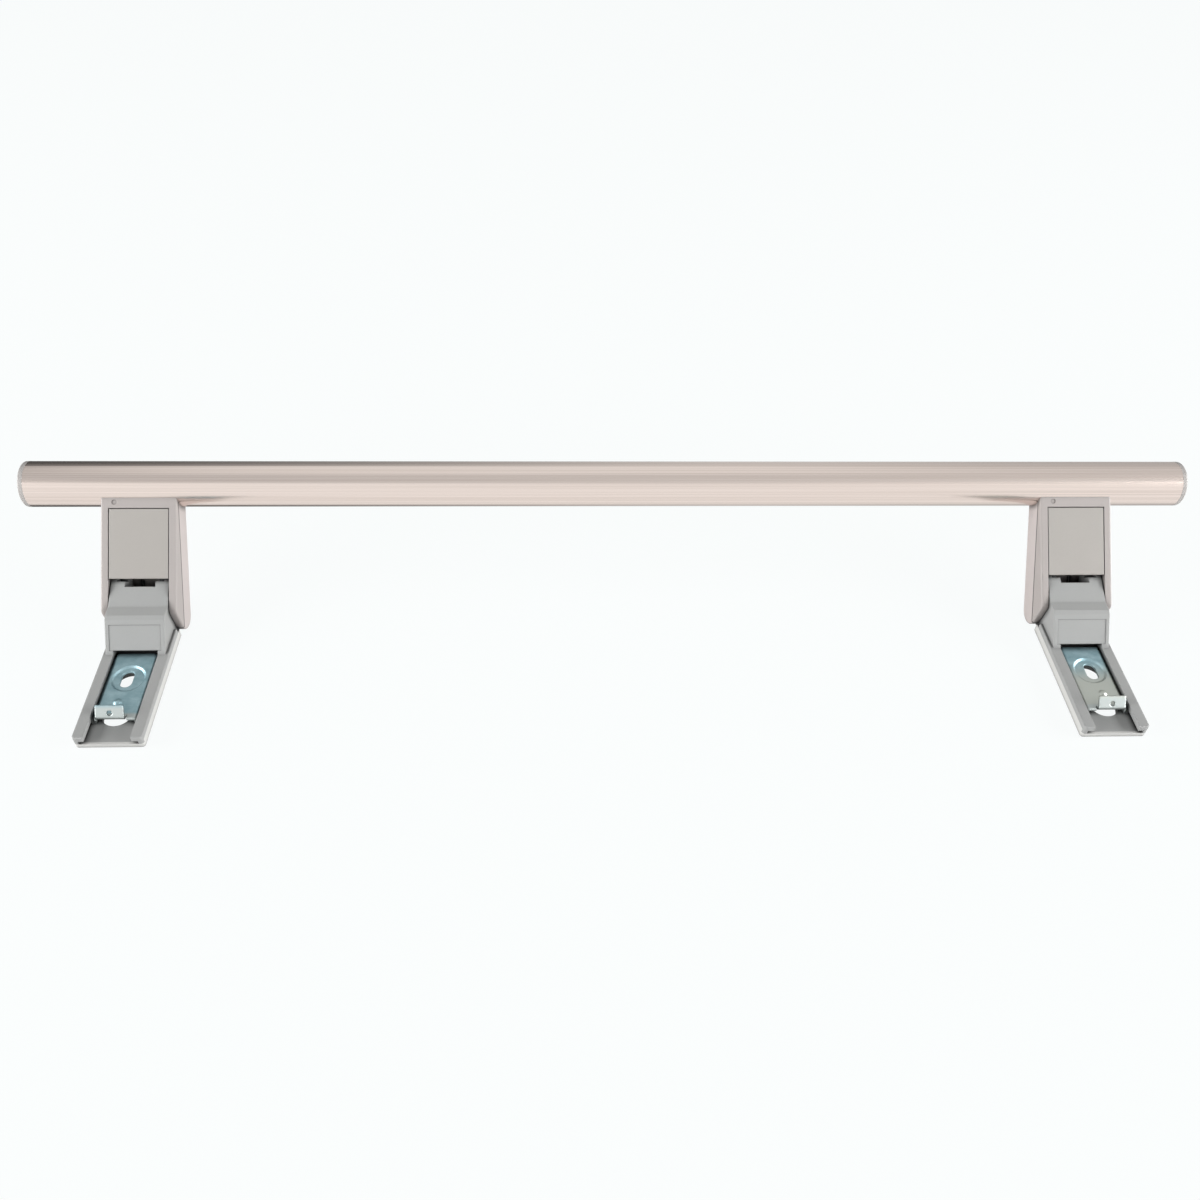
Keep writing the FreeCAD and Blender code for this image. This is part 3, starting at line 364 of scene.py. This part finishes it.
# The two noises add up to about one. The swing lies a little round one.
both = calculated(shaders, links, "ADD", fine.outputs["Fac"], cloudy.outputs["Fac"])
centred = calculated(shaders, links, "SUBTRACT", both, 1.0)
swing = calculated(shaders, links, "MULTIPLY_ADD", centred, given.outputs["Contrast"], 1.0)
links.new(scaled(shaders, links, given.outputs["Color"], swing), result.inputs["Color"])
uneven = calculated(shaders, links, "MULTIPLY", given.outputs["Roughness"], swing)
links.new(uneven, result.inputs["Roughness"])
soft_edge = shaders.new("ShaderNodeBevel")
soft_edge.inputs["Radius"].default_value = PLASTIC_EDGE
skin = shaders.new("ShaderNodeBump")
skin.inputs["Strength"].default_value = GRAIN_STRENGTH
links.new(given.outputs["Depth"], skin.inputs["Distance"])
links.new(fine.outputs["Fac"], skin.inputs["Height"])
links.new(soft_edge.outputs["Normal"], skin.inputs["Normal"])
links.new(skin.outputs["Normal"], result.inputs["Normal"])


def moulded_plastic(name, color, roughness, contrast=GRAIN_CONTRAST):
    """Moulded plastic with a fine grain, plain or with a silver finish, and painted shade in gaps and
    hollows.
    """
    made, shaders, links, shader = blank_material(name)
    skin = shaders.new("ShaderNodeGroup")
    skin.node_tree = moulded_grain
    skin.inputs["Color"].default_value = (*color, 1)
    skin.inputs["Contrast"].default_value = contrast
    skin.inputs["Roughness"].default_value = roughness
    skin.inputs["Grain Size"].default_value = GRAIN_SIZE
    skin.inputs["Depth"].default_value = GRAIN_DEPTH
    colored_with_painted_shade(shaders, links, skin.outputs["Color"], shader)
    links.new(skin.outputs["Roughness"], shader.inputs["Roughness"])
    links.new(skin.outputs["Normal"], shader.inputs["Normal"])
    return made


cap_silver = moulded_plastic("cap_silver", CAP_COLOR, CAP_ROUGHNESS)
for side in ("left", "right"):
    dress(side + "_end_cap", cap_silver)

# Lever shells
# The back half of each lever: a moulded silver shell with thick knuckles
# that hold the ends of the pivot pin, and a seat for the tube at its top.
SHELL_COLOR = (0.54, 0.49, 0.475)
SHELL_ROUGHNESS = 0.42
PIVOT_HEIGHT = 0.0062
SEAM_TILT = math.radians(51.69)     # rise of the joint between shell and frame
SEAM_OFFSET = 0.0032        # middle of its groove, in front of the pivot, m
SEAM_HALF = (0.00018, 0.00050)      # full shade, and where it ends
SEAM_SHADE = 0.32


def shade_seam(material):
    """Darken the fine groove between shell and frame, which is full of shadow."""
    shaders = material.node_tree.nodes
    links = material.node_tree.links
    shader = shaders["Principled BSDF"]
    where = shaders.new("ShaderNodeTexCoord")
    outwards = shaders.new("ShaderNodeVectorMath")
    outwards.operation = "DOT_PRODUCT"
    outwards.inputs[1].default_value = (0, -math.sin(SEAM_TILT), math.cos(SEAM_TILT))
    links.new(where.outputs["Object"], outwards.inputs[0])
    groove = SEAM_OFFSET + PIVOT_HEIGHT * math.cos(SEAM_TILT)
    apart = calculated(shaders, links, "SUBTRACT", outwards.outputs["Value"], groove)
    distance = calculated(shaders, links, "ABSOLUTE", apart)
    shade = graded(shaders, links, distance, SEAM_HALF, (SEAM_SHADE, 1.0))
    color = shader.inputs["Base Color"].links[0].from_socket
    links.new(scaled(shaders, links, color, shade), shader.inputs["Base Color"])


shell_silver = moulded_plastic("shell_silver", SHELL_COLOR, SHELL_ROUGHNESS)
shade_seam(shell_silver)
for side in ("left", "right"):
    dress(side + "_lever_shell", shell_silver)

# Lever frames
# The front half: a header under the tube and two cheeks, snapped into the
# shell. It has the same silver finish, a little duller.
FRAME_COLOR = (0.41, 0.377, 0.363)
FRAME_ROUGHNESS = 0.45
frame_silver = moulded_plastic("frame_silver", FRAME_COLOR, FRAME_ROUGHNESS)
shade_seam(frame_silver)
for side in ("left", "right"):
    dress(side + "_lever_frame", frame_silver)

# Screw covers
# A flat moulded plate in the same silver clips into each frame on two hooks
# and hides the screw that holds the tube.
COVER_COLOR = (0.392, 0.371, 0.347)
COVER_ROUGHNESS = 0.45
cover_silver = moulded_plastic("cover_silver", COVER_COLOR, COVER_ROUGHNESS)
for side in ("left", "right"):
    dress(side + "_lever_cover", cover_silver)

# Tube screws and nuts
# Zinc plated steel: a socket screw and the half-round nut that it pulls
# against the inside of the tube.
BOLT_DARK = (0.36, 0.37, 0.37)
BOLT_LIGHT = (0.56, 0.57, 0.56)
BOLT_MOTTLE = (320.0, 320.0, 320.0)     # spots per metre each way
BOLT_SPAN = (0.35, 0.70)
BOLT_ROUGHNESS = 0.34


def mottled_metal(name, scale, dark, light, span, roughness):
    """Bare or plated metal whose colour varies a little over the surface, with painted shade in gaps and
    hollows.
    """
    made, shaders, links, shader = blank_material(name, metallic=1.0)
    mottle = stretched_noise(shaders, links, scale)
    colored_with_painted_shade(shaders, links, ramped(shaders, links, mottle, dark, light, span), shader)
    shader.inputs["Roughness"].default_value = roughness
    return made


bright_zinc = mottled_metal("bright_zinc", BOLT_MOTTLE, BOLT_DARK, BOLT_LIGHT, BOLT_SPAN, BOLT_ROUGHNESS)
for side in ("left", "right"):
    dress(side + "_tube_screw", bright_zinc)
    dress(side + "_tube_nut", bright_zinc)

# Pivot pins
# A ground steel pin carries each lever. Its ends sit in the shell's knuckles,
# and its fine turning lines run round it.
PIN_DARK = (0.44, 0.44, 0.45)
PIN_LIGHT = (0.60, 0.60, 0.61)
PIN_LINES = (4200.0, 90.0, 90.0)        # per metre along the pin and across it
PIN_SPAN = (0.35, 0.65)
PIN_ROUGHNESS = 0.22
ground_steel = mottled_metal("ground_steel", PIN_LINES, PIN_DARK, PIN_LIGHT, PIN_SPAN, PIN_ROUGHNESS)
for side in ("left", "right"):
    dress(side + "_pivot_pin", ground_steel)

# Return springs
# A torsion spring of dark phosphated wire is wound round each pin and holds
# the lever against its stop.
SPRING_DARK = (0.07, 0.07, 0.075)
SPRING_LIGHT = (0.15, 0.145, 0.14)
SPRING_MOTTLE = (900.0, 900.0, 900.0)
SPRING_SPAN = (0.35, 0.65)
SPRING_ROUGHNESS = 0.3
spring_wire = mottled_metal("spring_wire", SPRING_MOTTLE, SPRING_DARK, SPRING_LIGHT, SPRING_SPAN,
                            SPRING_ROUGHNESS)
for side in ("left", "right"):
    dress(side + "_return_spring", spring_wire)

# Bearing rails
# Block and rail are one tough grey moulding. The block carries the lever's
# pin, and the rail's lips hold the mounting plate.
RAIL_COLOR = (0.36, 0.365, 0.36)
RAIL_ROUGHNESS = 0.5
RAIL_CONTRAST = 0.08
rail_grey = moulded_plastic("rail_grey", RAIL_COLOR, RAIL_ROUGHNESS, RAIL_CONTRAST)
for side in ("left", "right"):
    dress(side + "_bearing_rail", rail_grey)

# Foot trays
# A lighter grey moulded tray lies between each rail and the door and wraps
# the rail's sides.
TRAY_COLOR = (0.62, 0.62, 0.60)
TRAY_ROUGHNESS = 0.48
tray_grey = moulded_plastic("tray_grey", TRAY_COLOR, TRAY_ROUGHNESS)
for side in ("left", "right"):
    dress(side + "_foot_tray", tray_grey)

# Mounting plates
# Steel sheet, 1 mm thick, pressed to a hat section with a dished slot and a
# folded, tapped tab, then zinc plated. The plating is faintly blue. The colour
# is a little warmer towards the front of the right plate, and the tab is
# painted paler, a painted reflection of the bright front that it faces.
ZINC_DARK = (0.24, 0.37, 0.41)
ZINC_LIGHT = (0.40, 0.55, 0.595)
ZINC_WARM = (0.50, 0.52, 0.48)
# Painted reflection: the tab's paler colour stands in for the bright front that it mirrors.
ZINC_TAB_SHEEN = (0.475, 0.51, 0.50)
ZINC_MOTTLE = (160.0, 260.0, 160.0)     # spots per metre each way
ZINC_DETAIL = 5.0
ZINC_SPAN = (0.32, 0.72)
ZINC_ROUGHNESS = 0.46
ZINC_EDGE = 0.0006          # rounding of the pressed edges, m
WARM_SPAN = (-0.027, -0.040)        # places along and across the feet, m
TAB_SHEEN_SPAN = (-0.0500, -0.0515)
RIGHT_SPAN = (0.0, 0.1)
zinc_plate, shaders, links, shader = blank_material("blue_zinc", metallic=1.0)
mottle = stretched_noise(shaders, links, ZINC_MOTTLE, ZINC_DETAIL)
plating = ramped(shaders, links, mottle, ZINC_DARK, ZINC_LIGHT, ZINC_SPAN)
where = shaders.new("ShaderNodeTexCoord")
place = shaders.new("ShaderNodeSeparateXYZ")
links.new(where.outputs["Object"], place.inputs["Vector"])
forward = graded(shaders, links, place.outputs["Y"], WARM_SPAN)
on_right = graded(shaders, links, place.outputs["X"], RIGHT_SPAN)
tab_sheen = graded(shaders, links, place.outputs["Y"], TAB_SHEEN_SPAN)
warmed = calculated(shaders, links, "MULTIPLY", forward, on_right)
# First the warmer patch on the right plate, then the painted reflection that makes the tab paler.
for share, color in ((warmed, ZINC_WARM), (tab_sheen, ZINC_TAB_SHEEN)):
    blend = shaders.new("ShaderNodeMixRGB")
    blend.inputs["Color2"].default_value = (*color, 1)
    links.new(share, blend.inputs["Fac"])
    links.new(plating, blend.inputs["Color1"])
    plating = blend.outputs["Color"]
links.new(plating, shader.inputs["Base Color"])
shader.inputs["Roughness"].default_value = ZINC_ROUGHNESS
pressed_edge = shaders.new("ShaderNodeBevel")
pressed_edge.inputs["Radius"].default_value = ZINC_EDGE
links.new(pressed_edge.outputs["Normal"], shader.inputs["Normal"])
for side in ("left", "right"):
    dress(side + "_mounting_plate", zinc_plate)
